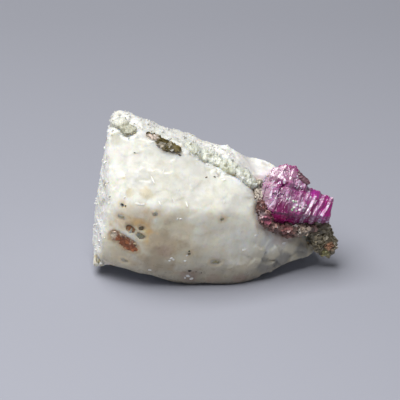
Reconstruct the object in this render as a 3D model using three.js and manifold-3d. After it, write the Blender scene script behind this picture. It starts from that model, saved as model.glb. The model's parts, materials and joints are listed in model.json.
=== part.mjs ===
// Ruby in matrix: a tapered ruby crystal grown into the narrow end of a block of white marble,
// with a rim of mica round its root, a knot of mica at the tip and flakes of mica in the marble.
// Millimetres, +Z up, X along the block from its broad broken end to the ruby, -Y towards the
// stained front. The origin is the centre of the base, under the middle of the whole stone.
import * as THREE from "three";
import { ImprovedNoise } from "three/addons/math/ImprovedNoise.js";
import { mergeVertices } from "three/addons/utils/BufferGeometryUtils.js";
import Module from "manifold-3d";

const wasm = await Module();
wasm.setup();

// Driving dimensions of the marble block: its ridges, each a broken line of [x, y, z] points
// from the broad end to the narrow end. Neighbouring ridges bound one fracture face.
const BOTTOM_FRONT = [
  [-24.5, -6, 1.4], [-20.7, -8, 3.6], [-18.7, -9.5, 3.7], [-13.4, -10, 2.6], [-10, -10, 1.3],
  [-5.7, -9.4, -0.5], [5.1, -9.1, -0.6], [7.5, -8.4, -0.4], [9.4, -8, 0.9], [14.6, -6.2, 2.9],
  [19.7, -4, 3.4],
];
const LOWER_FRONT = [
  [-22.6, -8.2, 7.6], [-16.3, -10.9, 8.4], [-9.1, -11.5, 7.4], [-2, -11.1, 6.2],
  [4.1, -10.4, 5.6], [8.3, -9.1, 5.4], [11.2, -7.4, 5.2], [15.2, -5.9, 4.8], [19.2, -4, 4],
];
const BELLY = [
  [-20.9, -8, 18.7], [-16.3, -10.5, 19.9], [-9.1, -11.5, 20.4], [-3, -11.3, 19.8],
  [2.2, -10.5, 18.7], [7.1, -8.9, 16.2], [9.2, -8.1, 12.3], [11.6, -7, 9.3], [15.2, -5.9, 7.2],
  [19.2, -4.2, 4.9],
];
const BROW = [
  [-21.1, 0.5, 31.8], [-17.7, -1, 30.9], [-13.2, -2, 30.3], [-7.1, -3.2, 29], [-2, -4, 25.5],
  [2.6, -4.8, 23.6], [6.1, -5.4, 20.8], [8.3, -5.9, 18.9], [10, -4.9, 19.7], [12.9, -3.6, 19.4],
  [14, -3.6, 12.5], [15.6, -4.2, 8.9], [19.9, -2.6, 5.6],
];
const CREST = [
  [-20.3, 6.5, 31.8], [-16.9, 6, 31.3], [-10, 5, 28.4], [-5.5, 4.5, 27.8], [-1.6, 4.7, 25.3],
  [2.6, 5, 24.1], [5.8, 5.3, 21.5], [10, 5.2, 20.6], [13, 4.4, 19.3], [14.6, 3.6, 15.5],
  [20.1, 0, 7.6],
];
const BACK_SHOULDER = [
  [-20.5, 10.6, 26], [-15.5, 12.6, 22.4], [-9.5, 10.8, 23.2], [-4, 12.6, 19.4],
  [1.5, 10.2, 19.4], [6.5, 11.6, 15.4], [10.5, 9.2, 15.6], [16, 7, 10.6], [20, 2.5, 7],
];
const BACK_LOW = [
  [-21.5, 13, 10], [-16.5, 13.6, 12.4], [-10.5, 15.4, 8.2], [-5, 13.4, 10.2], [1, 14.6, 6.8],
  [6, 11.8, 9], [11, 11.6, 6], [16, 8, 6.4], [20, 3, 5],
];
const BOTTOM_BACK = [
  [-21, 10, 0.6], [-15, 12.2, 0.4], [-9, 10.6, -0.6], [-2, 12.2, -0.6], [4, 9.8, -0.6],
  [8, 9.6, -0.4], [13, 6.5, 2], [19.6, 0.5, 3.6],
];
const BROAD_END_APEX = [-24.9, -1.5, 5]; // the broad end swells to the left, low down
const NARROW_END_APEX = [20.6, -1.4, 5];

// Each ridge with how many strips of mesh its face, up to the next ridge, is parted into and
// how rough that face is, in millimetres of relief.
const FACES = [
  { ridge: BOTTOM_FRONT, strips: 4, relief: 0.3 },
  { ridge: LOWER_FRONT, strips: 5, relief: 0.25 },
  { ridge: BELLY, strips: 6, relief: 0.25 },
  { ridge: BROW, strips: 5, relief: 0.55 },
  { ridge: CREST, strips: 4, relief: 0.45 },
  { ridge: BACK_SHOULDER, strips: 5, relief: 0.6 },
  { ridge: BACK_LOW, strips: 4, relief: 0.5 },
  { ridge: BOTTOM_BACK, strips: 4, relief: 0.2 },
];
const RINGS_ALONG = 34;
const BROAD_END_RINGS = 6;
const NARROW_END_RINGS = 2;
const END_RELIEF = 0.35;
const RELIEF_WAVELENGTH = 6.5;
const FINE_WAVELENGTH = 2.4;

// Driving dimensions of the ruby: two six-sided crystals grown together. The girth of each is a
// list of [distance from the tip, radius at the corners]; both narrow again inside the marble.
const MAIN_CRYSTAL = {
  tip: new THREE.Vector3(23.1, -3.4, 14),
  axis: new THREE.Vector3(0.977, -0.123, -0.176).normalize(),
  facetNormal: new THREE.Vector3(0, -0.82, 0.57), // the broad bright face towards the front
  girth: [[0, 2.35], [1.2, 2.65], [4.2, 3.35], [9, 4.7], [11.8, 5.3], [13.6, 4.1], [16.5, 1.8]],
  steps: 12,
  stepDepth: 0.22,
};
const SHOULDER_CRYSTAL = {
  tip: new THREE.Vector3(18.1, -1.4, 17.9),
  axis: new THREE.Vector3(0.934, -0.152, -0.324).normalize(),
  facetNormal: new THREE.Vector3(0, -0.4, 0.92),
  girth: [[0, 1.8], [1.6, 2.6], [3.9, 3.85], [5.8, 3.3], [7.8, 1.8]],
  steps: 6,
  stepDepth: 0.15,
};

const ROOM = 120; // larger than the stone
const SEAT_GAP = 0.3; // clearance between a mineral and the marble that holds it
const SEAT_HEADROOM = 2.5; // how far a flake's seat is cut above the flake
const VIEW_TILT = 35; // flakes are placed as seen from the front, this many degrees from level

// Rim of mica books round the ruby's root: the line that their centres follow, and their size.
const RIM_PATH = [
  [8.3, -2.6, 19.6], [8.2, -4.6, 18.4], [9, -6, 16.8], [9.9, -6.9, 15], [11, -7, 13.1],
  [12.5, -6.5, 11.8], [14.2, -5.9, 11.1], [15.9, -5.4, 10.7], [17.8, -4.8, 10.5],
  [19.3, -4.2, 10.4],
];
const RIM_BOOKS = 15;
const RIM_BOOK_RADIUS = 1.2;
const RIM_BOOK_THICKNESS = 1.4;

// Knot of mica books under the ruby's tip: centre, radius and thickness of each.
const KNOT_BOOKS = [
  [19.6, -2.8, 10.2, 1.6, 1.8], [21.3, -2.6, 9.2, 1.9, 1.6], [20.2, -2.9, 7.6, 1.9, 1.7],
  [22, -2.6, 7.4, 1.6, 1.7], [20.9, -3, 5.8, 1.8, 1.6], [22.7, -2.7, 6, 1.8, 1.4],
  [23.5, -3, 5.4, 1.5, 1.4], [22.6, -3.3, 4.1, 1.4, 1.3], [21, -2.4, 4.4, 1.5, 1.2],
];

// Flakes of mica in the marble's surface. Each plate is placed by how far across and up the
// tilted view its middle lies, then its half length, half width and turn in that view.
const FLAKES = [
  {
    name: "dark_mica_flake",
    host: "marble",
    mineral: "darkMica",
    proud: 0.45,
    depth: 1.8,
    plates: [
      [-9.4, 22.4, 2.8, 0.95, -25],
      [-12.1, 23.9, 1.4, 0.75, -20],
    ],
  },
  {
    name: "red_mica_flake",
    host: "marble",
    mineral: "redMica",
    proud: 0.35,
    depth: 1.4,
    plates: [
      [-17.5, 2.9, 2.2, 1.1, -34],
      [-19.6, 4.3, 1.4, 0.9, -20],
    ],
  },
  {
    name: "grey_mica_patch",
    host: "marble",
    mineral: "greyMica",
    proud: 0.5,
    depth: 1.8,
    plates: [
      [-18.6, 26.7, 1.9, 1.7, -40],
      [-17.2, 25.4, 1.7, 1.3, -40],
    ],
  },
  {
    name: "grey_mica_band",
    host: "marble",
    mineral: "greyMica",
    proud: 0.55,
    depth: 1.8,
    plates: [
      [-3.6, 21, 2.9, 1.7, -30],
      [-0.4, 19.7, 2.6, 1.9, -27],
      [2.9, 18, 2.7, 1.9, -28],
      [6, 16.1, 2.4, 1.7, -32],
    ],
  },
  {
    name: "brown_rind_flake",
    mineral: "rimMica",
    host: "ruby",
    proud: 0.45,
    depth: 0.9,
    plates: [[17.3, 15.9, 1.9, 0.6, -41]],
  },
];

// Small grains of mica, almost flush with the marble.
const GRAIN_DEPTH = 1;
const GRAIN_PROUD = 0.15;
const GRAINS = [
  // [across, up, half length, half width, turn, mineral]
  [-16.8, 5.9, 0.85, 0.5, -20, "redMica"],
  [-14.6, 6.1, 0.6, 0.4, 10, "darkMica"],
  [-18.5, 8.3, 0.85, 0.5, -10, "paleMica"],
  [-11.8, 8.9, 0.6, 0.45, 20, "paleMica"],
  [1.3, 7.9, 0.5, 0.4, -10, "greenMica"],
  [0, -0.7, 1.1, 0.55, -5, "greenMica"],
  [-5.2, 1, 0.55, 0.4, 30, "darkMica"],
  [-18.1, -0.3, 0.75, 0.4, -15, "paleMica"],
  [-23.4, -0.7, 0.9, 0.45, -20, "paleMica"],
  [-21.9, 14.8, 0.5, 0.4, 0, "redMica"],
  [-18.4, 10.7, 0.5, 0.35, -20, "darkMica"],
  [-14.6, 4.6, 0.8, 0.5, -35, "greenMica"],
];

const noise = new ImprovedNoise();

// Smooth noise between about -1 and 1 at a point.
function noiseAt(p, wavelength) {
  return noise.noise(p.x / wavelength, p.y / wavelength, p.z / wavelength);
}

function reliefAt(p) {
  return 1.4 * noiseAt(p, RELIEF_WAVELENGTH) + 0.7 * noiseAt(p, FINE_WAVELENGTH);
}

// Point of a ridge where its share of the way along X is s.
function pointOnRidge(ridge, s) {
  const first = ridge[0][0];
  const x = first + s * (ridge[ridge.length - 1][0] - first);
  let i = 1;
  while (i < ridge.length - 1 && ridge[i][0] < x) i += 1;
  const a = new THREE.Vector3(...ridge[i - 1]);
  const b = new THREE.Vector3(...ridge[i]);
  return a.lerp(b, (x - a.x) / (b.x - a.x));
}

// One closed outline of the block, with the relief that its faces ask for.
function blockRing(s) {
  const ring = [];
  FACES.forEach((face, k) => {
    const next = FACES[(k + 1) % FACES.length];
    const from = pointOnRidge(face.ridge, s);
    const to = pointOnRidge(next.ridge, s);
    for (let j = 0; j < face.strips; j += 1) {
      ring.push({ point: from.clone().lerp(to, j / face.strips), relief: face.relief });
    }
  });
  return ring;
}

// Rings that close an end by shrinking its outline onto an apex, outline first.
function endRings(outline, apex, count) {
  const centre = new THREE.Vector3(...apex);
  const rings = [];
  for (let k = 1; k < count; k += 1) {
    const inwards = (vertex) => vertex.point.clone().lerp(centre, k / count);
    rings.push(outline.map((vertex) => ({ point: inwards(vertex), relief: END_RELIEF })));
  }
  return rings;
}

// Moves every vertex towards the middle of its neighbours, which rounds the ridges a little.
function roundEdges(points, triangles) {
  const neighbours = points.map(() => new Set());
  triangles.forEach(([a, b, c]) => {
    neighbours[a].add(b).add(c);
    neighbours[b].add(a).add(c);
    neighbours[c].add(a).add(b);
  });
  const before = points.map((p) => p.clone());
  points.forEach((p, i) => {
    const middle = new THREE.Vector3();
    neighbours[i].forEach((j) => middle.add(before[j]));
    p.lerp(middle.divideScalar(neighbours[i].size), 0.4);
  });
}

// The block's surface as a closed indexed geometry, grown outwards by a distance.
function blockGeometry(grow) {
  const rings = [];
  for (let i = 0; i <= RINGS_ALONG; i += 1) rings.push(blockRing(i / RINGS_ALONG));
  const all = [
    ...endRings(rings[0], BROAD_END_APEX, BROAD_END_RINGS).reverse(),
    ...rings,
    ...endRings(rings[RINGS_ALONG], NARROW_END_APEX, NARROW_END_RINGS),
  ];
  const around = all[0].length;
  const points = all.flat().map(({ point }) => point.clone());
  const relief = all.flat().map((vertex) => vertex.relief);
  const triangles = [];
  for (let i = 0; i + 1 < all.length; i += 1) {
    for (let j = 0; j < around; j += 1) {
      const a = i * around + j;
      const b = i * around + ((j + 1) % around);
      triangles.push([a, a + around, b], [b, a + around, b + around]);
    }
  }
  const broadApex = points.push(new THREE.Vector3(...BROAD_END_APEX)) - 1;
  const narrowApex = points.push(new THREE.Vector3(...NARROW_END_APEX)) - 1;
  relief.push(END_RELIEF, END_RELIEF);
  const lastRing = (all.length - 1) * around;
  for (let j = 0; j < around; j += 1) {
    const next = (j + 1) % around;
    triangles.push([broadApex, j, next], [narrowApex, lastRing + next, lastRing + j]);
  }
  roundEdges(points, triangles);
  const geometry = new THREE.BufferGeometry().setFromPoints(points);
  geometry.setIndex(triangles.flat());
  geometry.computeVertexNormals();
  const normals = geometry.getAttribute("normal");
  const position = geometry.getAttribute("position");
  points.forEach((p, i) => {
    const away = new THREE.Vector3().fromBufferAttribute(normals, i);
    p.addScaledVector(away, relief[i] * reliefAt(p) + grow);
    position.setXYZ(i, p.x, p.y, p.z);
  });
  return geometry;
}

// A closed geometry as a solid that can be joined and cut.
function solidFrom(geometry) {
  const bare = geometry.clone();
  bare.deleteAttribute("normal");
  bare.deleteAttribute("uv");
  const merged = mergeVertices(bare, 1e-4);
  return new wasm.Manifold(
    new wasm.Mesh({
      numProp: 3,
      vertProperties: merged.attributes.position.array,
      triVerts: new Uint32Array(merged.index.array),
    }),
  );
}

// A solid as a named mesh with the colour and gloss of its mineral.
function meshFrom(name, solid, material) {
  const { vertProperties, triVerts } = solid.getMesh();
  const geometry = new THREE.BufferGeometry();
  geometry.setAttribute("position", new THREE.BufferAttribute(vertProperties, 3));
  geometry.setIndex(new THREE.BufferAttribute(triVerts, 1));
  geometry.computeVertexNormals();
  const mesh = new THREE.Mesh(geometry, material);
  mesh.name = name;
  return mesh;
}

// Everything above a height, as one block.
function spaceAbove(z) {
  return solidFrom(new THREE.BoxGeometry(ROOM, ROOM, ROOM).translate(0, 0, z + ROOM / 2));
}

// Radius of a crystal at a distance from its tip.
function radiusAt(girth, distance) {
  let i = 1;
  while (i < girth.length - 1 && girth[i][0] < distance) i += 1;
  const [from, radius] = girth[i - 1];
  const [to, next] = girth[i];
  return THREE.MathUtils.mapLinear(distance, from, to, radius, next);
}

// A six-sided crystal whose girth changes in growth steps from its buried root to its tip.
function crystalGeometry({ tip, axis, facetNormal, girth, steps, stepDepth }, grow) {
  const length = girth[girth.length - 1][0];
  const profile = [new THREE.Vector2(0, -grow)];
  for (let k = 0; k <= steps; k += 1) {
    const height = (k / steps) * length;
    const step = k % 2 ? stepDepth : 0;
    const past = k === 0 ? -grow : k === steps ? grow : 0;
    profile.push(new THREE.Vector2(radiusAt(girth, length - height) + step + grow, height + past));
    if (k < steps) {
      const ledge = height + (0.82 * length) / steps;
      profile.push(new THREE.Vector2(radiusAt(girth, length - ledge) + step + grow, ledge));
    }
  }
  profile.push(new THREE.Vector2(0, length + grow));
  const facing = facetNormal.clone().addScaledVector(axis, -facetNormal.dot(axis)).normalize();
  const side = new THREE.Vector3().crossVectors(axis, facing);
  const turned = new THREE.Matrix4().makeBasis(side, axis, facing);
  return new THREE.LatheGeometry(profile, 6, Math.PI / 6)
    .applyMatrix4(turned)
    .translate(...tip.clone().addScaledVector(axis, -length).toArray());
}

function rubySolid(grow) {
  return solidFrom(crystalGeometry(MAIN_CRYSTAL, grow)).add(
    solidFrom(crystalGeometry(SHOULDER_CRYSTAL, grow)),
  );
}

// A book of mica: a short six-sided stack, a little uneven, turned its own way.
function bookGeometry(at, radius, thickness, grow) {
  const geometry = new THREE.CylinderGeometry(radius, radius * 0.88, thickness, 6, 1);
  const position = geometry.getAttribute("position");
  const p = new THREE.Vector3();
  const [x, y, z] = at;
  for (let i = 0; i < position.count; i += 1) {
    p.fromBufferAttribute(position, i);
    const swell = 1 + 0.3 * noise.noise(p.x + 3 * x, p.y + 3 * y, p.z + 3 * z);
    p.multiplyScalar(swell + grow / (0.6 * radius));
    position.setXYZ(i, p.x, p.y, p.z);
  }
  const turn = new THREE.Euler(2.3 * x + z, 1.7 * z - y, 3.1 * y + x);
  return geometry.applyMatrix4(new THREE.Matrix4().makeRotationFromEuler(turn)).translate(...at);
}

function joined(solids) {
  return solids.reduce((sum, solid) => sum.add(solid));
}

// The rim of books along its path, as one crust.
function rimSolid(grow) {
  const path = new THREE.CatmullRomCurve3(RIM_PATH.map((point) => new THREE.Vector3(...point)));
  const books = [];
  for (let k = 0; k < RIM_BOOKS; k += 1) {
    const at = path.getPointAt(k / (RIM_BOOKS - 1));
    const size = 1 + 0.25 * Math.sin(5.3 * k);
    books.push(
      solidFrom(bookGeometry(at.toArray(), RIM_BOOK_RADIUS * size, RIM_BOOK_THICKNESS * size, grow)),
    );
  }
  return joined(books);
}

function knotSolid(grow) {
  return joined(
    KNOT_BOOKS.map(([x, y, z, radius, thickness]) =>
      solidFrom(bookGeometry([x, y, z], radius, thickness, grow)),
    ),
  );
}

const viewBack = new THREE.Vector3(0, -Math.cos(THREE.MathUtils.degToRad(VIEW_TILT)), 0);
viewBack.z = Math.sin(THREE.MathUtils.degToRad(VIEW_TILT));
const viewUp = new THREE.Vector3(0, viewBack.z, -viewBack.y);

// Where a spot of the tilted view meets a surface, with the direction out of that surface.
function spotOn(surface, across, up) {
  const from = new THREE.Vector3(across, 0, 0).addScaledVector(viewUp, up).addScaledVector(viewBack, ROOM);
  const hit = new THREE.Raycaster(from, viewBack.clone().negate()).intersectObject(surface)[0];
  return { point: hit.point, out: hit.face.normal };
}

// One plate of a flake: an uneven outline that lies along a surface and reaches into it.
function plateGeometry(surface, [across, up, halfLength, halfWidth, turn], depth, grow) {
  const { point, out } = spotOn(surface, across, up);
  const outline = [];
  const corners = halfLength > 1.2 ? 11 : 7;
  for (let k = 0; k < corners; k += 1) {
    const angle = (2 * Math.PI * k) / corners;
    const reach = 1 + 0.16 * Math.sin(7 * angle + 3 * across) * Math.cos(4 * k + up);
    outline.push(
      new THREE.Vector2(
        Math.cos(angle) * (halfLength * reach + grow),
        Math.sin(angle) * (halfWidth * reach + grow),
      ),
    );
  }
  const angle = THREE.MathUtils.degToRad(turn);
  const along = new THREE.Vector3(Math.cos(angle), 0, 0).addScaledVector(viewUp, Math.sin(angle));
  along.addScaledVector(out, -along.dot(out)).normalize();
  const beside = new THREE.Vector3().crossVectors(out, along);
  return new THREE.ExtrudeGeometry(new THREE.Shape(outline), {
    depth: depth + SEAT_HEADROOM + grow,
    bevelEnabled: false,
  })
    .translate(0, 0, -depth - grow)
    .applyMatrix4(new THREE.Matrix4().makeBasis(along, beside, out))
    .translate(...point.toArray());
}

function platesSolid(surface, plates, depth, grow) {
  return joined(plates.map((plate) => solidFrom(plateGeometry(surface, plate, depth, grow))));
}

// The largest of the bodies that a cut leaves.
function largestOf(solid) {
  return solid.decompose().reduce((best, piece) => (piece.volume() > best.volume() ? piece : best));
}

const MINERALS = {
  marble: new THREE.MeshStandardMaterial({ color: 0xe9e7dd, roughness: 0.45, metalness: 0 }),
  ruby: new THREE.MeshStandardMaterial({ color: 0xa8226e, roughness: 0.2, metalness: 0 }),
  rimMica: new THREE.MeshStandardMaterial({ color: 0x7a6257, roughness: 0.5, metalness: 0 }),
  tipMica: new THREE.MeshStandardMaterial({ color: 0x6a6247, roughness: 0.5, metalness: 0 }),
  darkMica: new THREE.MeshStandardMaterial({ color: 0x3b3124, roughness: 0.35, metalness: 0 }),
  redMica: new THREE.MeshStandardMaterial({ color: 0x9a4a33, roughness: 0.4, metalness: 0 }),
  greyMica: new THREE.MeshStandardMaterial({ color: 0xa9a793, roughness: 0.35, metalness: 0 }),
  greenMica: new THREE.MeshStandardMaterial({ color: 0x6f6a4c, roughness: 0.5, metalness: 0 }),
  paleMica: new THREE.MeshStandardMaterial({ color: 0xa0805f, roughness: 0.5, metalness: 0 }),
};

const rubySeat = rubySolid(SEAT_GAP);
const rimSeat = rimSolid(SEAT_GAP);
const knotSeat = knotSolid(SEAT_GAP);
const blockMesh = new THREE.Mesh(blockGeometry(0));
const block = solidFrom(blockMesh.geometry).intersect(spaceAbove(0));

// The two crystals or masses that flakes lie in: surface, grown skin and the body being cut.
const hosts = {
  marble: {
    surface: blockMesh,
    skin: (grow) => solidFrom(blockGeometry(grow)),
    clearOf: [rubySeat, rimSeat, knotSeat],
    body: block.subtract(rubySeat).subtract(rimSeat).subtract(knotSeat),
  },
  ruby: {
    surface: new THREE.Mesh(crystalGeometry(SHOULDER_CRYSTAL, 0)),
    skin: rubySolid,
    clearOf: [knotSeat],
    body: rubySolid(0).subtract(knotSeat),
  },
};

// Sets a flake of one or more plates into its host and cuts its seat.
function flakeIn(hostName, plates, depth, proud) {
  const host = hosts[hostName];
  const whole = platesSolid(host.surface, plates, depth, 0).intersect(host.skin(proud));
  const flake = host.clearOf.reduce((left, other) => left.subtract(other), whole);
  host.body = host.body.subtract(platesSolid(host.surface, plates, depth, SEAT_GAP));
  return largestOf(flake);
}

const stone = new THREE.Group();
FLAKES.forEach(({ name, host, mineral, plates, depth, proud }) => {
  stone.add(meshFrom(name, flakeIn(host, plates, depth, proud), MINERALS[mineral]));
});
GRAINS.forEach(([across, up, halfLength, halfWidth, turn, mineral], k) => {
  const plate = [across, up, halfLength, halfWidth, turn];
  const grain = flakeIn("marble", [plate], GRAIN_DEPTH, GRAIN_PROUD);
  stone.add(meshFrom(`mica_grain_${k + 1}`, grain, MINERALS[mineral]));
});
const rim = rimSolid(0).subtract(rubySeat).subtract(knotSeat);
stone.add(
  meshFrom("marble_matrix", largestOf(hosts.marble.body), MINERALS.marble),
  meshFrom("ruby_crystal", largestOf(hosts.ruby.body), MINERALS.ruby),
  meshFrom("mica_rim", largestOf(rim), MINERALS.rimMica),
  meshFrom("mica_knot_at_tip", knotSolid(0), MINERALS.tipMica),
);

const bounds = new THREE.Box3().setFromObject(stone);
const middle = bounds.getCenter(new THREE.Vector3());
stone.position.set(-middle.x, -middle.y, -bounds.min.z);

export default stone;
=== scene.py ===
"""Ruby in matrix: the looks of a white marble block that holds a ruby crystal and flakes of mica."""

import json
import math

import bmesh
import bpy
import numpy as np
from bpy.props import FloatProperty, FloatVectorProperty, IntProperty, PointerProperty
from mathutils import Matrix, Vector, noise
from mathutils.bvhtree import BVHTree
from mathutils.kdtree import KDTree


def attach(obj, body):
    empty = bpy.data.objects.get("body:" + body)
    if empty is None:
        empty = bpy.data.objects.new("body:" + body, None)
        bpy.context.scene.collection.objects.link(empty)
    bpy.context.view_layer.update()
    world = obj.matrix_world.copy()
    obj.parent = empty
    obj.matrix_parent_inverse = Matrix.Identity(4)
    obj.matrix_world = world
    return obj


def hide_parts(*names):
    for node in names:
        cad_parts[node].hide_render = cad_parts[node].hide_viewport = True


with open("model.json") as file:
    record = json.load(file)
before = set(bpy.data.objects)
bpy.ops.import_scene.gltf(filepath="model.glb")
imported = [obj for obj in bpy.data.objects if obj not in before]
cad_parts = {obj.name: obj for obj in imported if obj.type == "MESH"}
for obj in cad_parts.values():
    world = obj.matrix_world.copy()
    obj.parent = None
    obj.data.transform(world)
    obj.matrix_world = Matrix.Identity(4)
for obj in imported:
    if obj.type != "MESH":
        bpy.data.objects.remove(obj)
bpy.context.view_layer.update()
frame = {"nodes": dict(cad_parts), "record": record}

bl_info = {
    "name": "Ruby in Matrix",
    "version": (1, 0, 0),
    "blender": (4, 5, 0),
    "location": "View3D > Sidebar > Stone",
    "description": "Dresses a marble block, its ruby and its mica on a fixed frame",
    "category": "Add Mesh",
}

MM = 0.001

# The picture: its width at the distance of the stone, and the camera that takes it.
PICTURE_WIDTH = 81.3 * MM
PICTURE_HALF_SENSOR = 18.0  # mm, half of the camera's sensor
LENS = 250.0
ELEVATION = math.radians(35)
CAMERA_DISTANCE = PICTURE_WIDTH / 2 * LENS / PICTURE_HALF_SENSOR
VIEW_RIGHT = Vector((1, 0, 0))
VIEW_UP = Vector((0, math.sin(ELEVATION), math.cos(ELEVATION)))
VIEW_BACK = VIEW_RIGHT.cross(VIEW_UP)
AIM = VIEW_RIGHT * -2.98 * MM + VIEW_UP * 10.73 * MM
CAMERA_PLACE = AIM + VIEW_BACK * CAMERA_DISTANCE

MARBLE_LINE = (0.28, 0, 0.96)  # the way the faint streaks of the marble run
# The growth ledges cross the broad face of the ruby at this slant, one behind the other.
LEDGE_DIRECTION = (VIEW_RIGHT * 0.894 - VIEW_UP * 0.447).normalized()
LEDGE_LINE = (VIEW_RIGHT * 0.447 + VIEW_UP * 0.894).normalized()
RUBY_TIP = Vector((23.15, -5.03, 14.2)) * MM
RUBY_AXIS = Vector((0.977, -0.123, -0.176)).normalized()

# The stage, in metres.
FLOOR_HALF = 1.6
LAMP_PLACE = (-0.1, -0.03, 0.42)
LAMP_AIM = (0, 0, 0.01)
LAMP_SIZE = (0.34, 0.3)
LAMP_COLOUR = (1, 0.99, 0.97)
SKY_COLOUR = (0.97, 0.98, 1.0, 1)

# Where two minerals meet, the skin of one is drawn onto the other from this far off, and this far
# into it.
CONTACT_REACH = 0.42 * MM
MARBLE_BITE = 0.06 * MM
RUBY_BITE = 0.05 * MM

WELD = 0.002 * MM  # corners of a copied mesh that are closer than this become one
SEAT_SWELL = 0.5 * MM  # how far past a mineral its seat in the marble is filled
# How far proud of the marble a flush mineral is laid, and how deep the part is that is laid so.
FLAKE_PROUD = 0.04 * MM
GRAIN_PROUD = 0.03 * MM
LAID_DEPTH = 0.12 * MM
EDGE_SWELL = 0.08 * MM  # how far a mass that stands out of the marble swells over its gap
# Between which distances from the marble, in mm, a mineral turns from marble to its own colour.
FLAKE_FADE = (0.44, 0.56)
GRAIN_FADE = (0.36, 0.54)
EDGE_FADE = (0, 0.28)

MINERAL_NODES = [name for name in frame["nodes"] if name != "marble_matrix"]
# Minerals that end level with the marble, and how far off, in metres, that level is measured.
FLUSH_NODES = [name for name in MINERAL_NODES if name.startswith(("mica_grain", "red_mica"))]
FLUSH_RING = (0.9 * MM, 1.6 * MM)
GRAINS_BY_SLOT = {}
for part in frame["record"]["subparts"]:
    if part["node"].startswith("mica_grain_"):
        GRAINS_BY_SLOT.setdefault(part["material_slot"], []).append(part["node"])


# Meshes from the frame


def new_object(name, data):
    piece = bpy.data.objects.new(name, data)
    bpy.context.scene.collection.objects.link(piece)
    return piece


def copy_of_nodes(name, nodes):
    """One new object with merged copies of the CAD meshes of these nodes."""
    shell = bmesh.new()
    for node in nodes:
        shell.from_mesh(frame["nodes"][node].data)
    bmesh.ops.remove_doubles(shell, verts=shell.verts, dist=WELD)
    mesh = bpy.data.meshes.new(name)
    shell.to_mesh(mesh)
    shell.free()
    return new_object(name, mesh)


def finish_modifiers(piece):
    """Turns what the modifiers make into the piece's own plain mesh."""
    graph = bpy.context.evaluated_depsgraph_get()
    made = bpy.data.meshes.new_from_object(piece.evaluated_get(graph))
    piece.modifiers.clear()
    piece.data = made


def remesh(piece, voxel):
    skin = piece.modifiers.new("Even skin", "REMESH")
    skin.mode = "VOXEL"
    skin.voxel_size = voxel
    skin.use_smooth_shade = True
    finish_modifiers(piece)


def soften(piece, rounds, shares=None):
    """Smooths the skin, everywhere or by a share for each point."""
    smooth = piece.modifiers.new("Soften", "SMOOTH")
    smooth.factor = 0.5
    smooth.iterations = rounds
    if shares is not None:
        group = piece.vertex_groups.new(name="Soft")
        smooth.vertex_group = group.name
        for i in np.flatnonzero(shares > 0):
            group.add([int(i)], float(shares[i]), "REPLACE")
    finish_modifiers(piece)
    piece.vertex_groups.clear()


def swell(piece, height):
    """Moves the skin outwards."""
    set_points(piece.data, points_of(piece.data) + normals_of(piece.data) * height)


def smooth_step(value, low, high):
    share = np.clip((np.asarray(value, float) - low) / (high - low), 0, 1)
    return share * share * (3 - 2 * share)


def points_of(mesh):
    flat = np.empty(len(mesh.vertices) * 3)
    mesh.vertices.foreach_get("co", flat)
    return flat.reshape(-1, 3)


def normals_of(mesh):
    flat = np.empty(len(mesh.vertices) * 3)
    mesh.vertices.foreach_get("normal", flat)
    return flat.reshape(-1, 3)


def set_points(mesh, points):
    mesh.vertices.foreach_set("co", points.ravel())
    mesh.update()


def store_float(mesh, name, values):
    layer = mesh.attributes.new(name, "FLOAT", "POINT")
    layer.data.foreach_set("value", np.asarray(values, np.float32))


def store_colour(mesh, name, colours):
    layer = mesh.attributes.new(name, "FLOAT_COLOR", "POINT")
    whole = np.ones((len(colours), 4), np.float32)
    whole[:, :3] = colours
    layer.data.foreach_set("color", whole.ravel())


def give_tint(piece, colour):
    """One tint for the whole piece."""
    store_colour(piece.data, "tint", np.tile(np.array(colour), (len(piece.data.vertices), 1)))


def dress(piece, material):
    """Gives the piece this material alone."""
    piece.data.materials.clear()
    piece.data.materials.append(material)


def close_onto(piece, nodes, reach, bite):
    """Draws the skin that lies within reach of other nodes onto them, and a little into them."""
    trees = [mesh_tree(frame["nodes"][node].data) for node in nodes]
    points = points_of(piece.data)
    for i, place in enumerate(points):
        here = Vector(place)
        best = None
        for tree in trees:
            found, _, _, distance = tree.find_nearest(here, 2 * reach)
            if found is not None and (best is None or distance < best[1]):
                best = (found, distance)
        if best is None or best[1] < 1e-7:
            continue
        found, distance = best
        pull = float(smooth_step(distance, 2 * reach, reach))
        points[i] = here + (found - here) * (pull * (1 + bite / distance))
    set_points(piece.data, points)


def mesh_tree(mesh):
    shell = bmesh.new()
    shell.from_mesh(mesh)
    tree = BVHTree.FromBMesh(shell)
    shell.free()
    return tree


def press_flush(mesh, skin):
    """Presses what stands out of the skin round a mineral down to it."""
    tree = mesh_tree(mesh)
    points = points_of(mesh)
    middle = points.mean(axis=0)
    low, high = FLUSH_RING
    reach = np.linalg.norm(points - middle, axis=1).max() + high
    skin_points = points_of(skin)
    near = np.flatnonzero(np.linalg.norm(skin_points - middle, axis=1) < reach)
    ring = [i for i in near if low < tree.find_nearest(Vector(skin_points[i]))[3] < high]
    outwards = normals_of(skin)[ring].mean(axis=0)
    outwards /= np.linalg.norm(outwards)
    height = (points - skin_points[ring].mean(axis=0)) @ outwards
    set_points(mesh, points - np.outer(np.maximum(height, 0), outwards))


def fill_seats(block, nodes, voxel):
    """Fills the seats of these nodes in the block, level with the skin round them."""
    shell = bmesh.new()
    shell.from_mesh(block.data)
    for node in nodes:
        plug = copy_of_nodes("plug", [node])
        swell(plug, SEAT_SWELL)
        press_flush(plug.data, block.data)
        shell.from_mesh(plug.data)
        bpy.data.objects.remove(plug)
    shell.to_mesh(block.data)
    shell.free()
    remesh(block, voxel)


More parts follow.
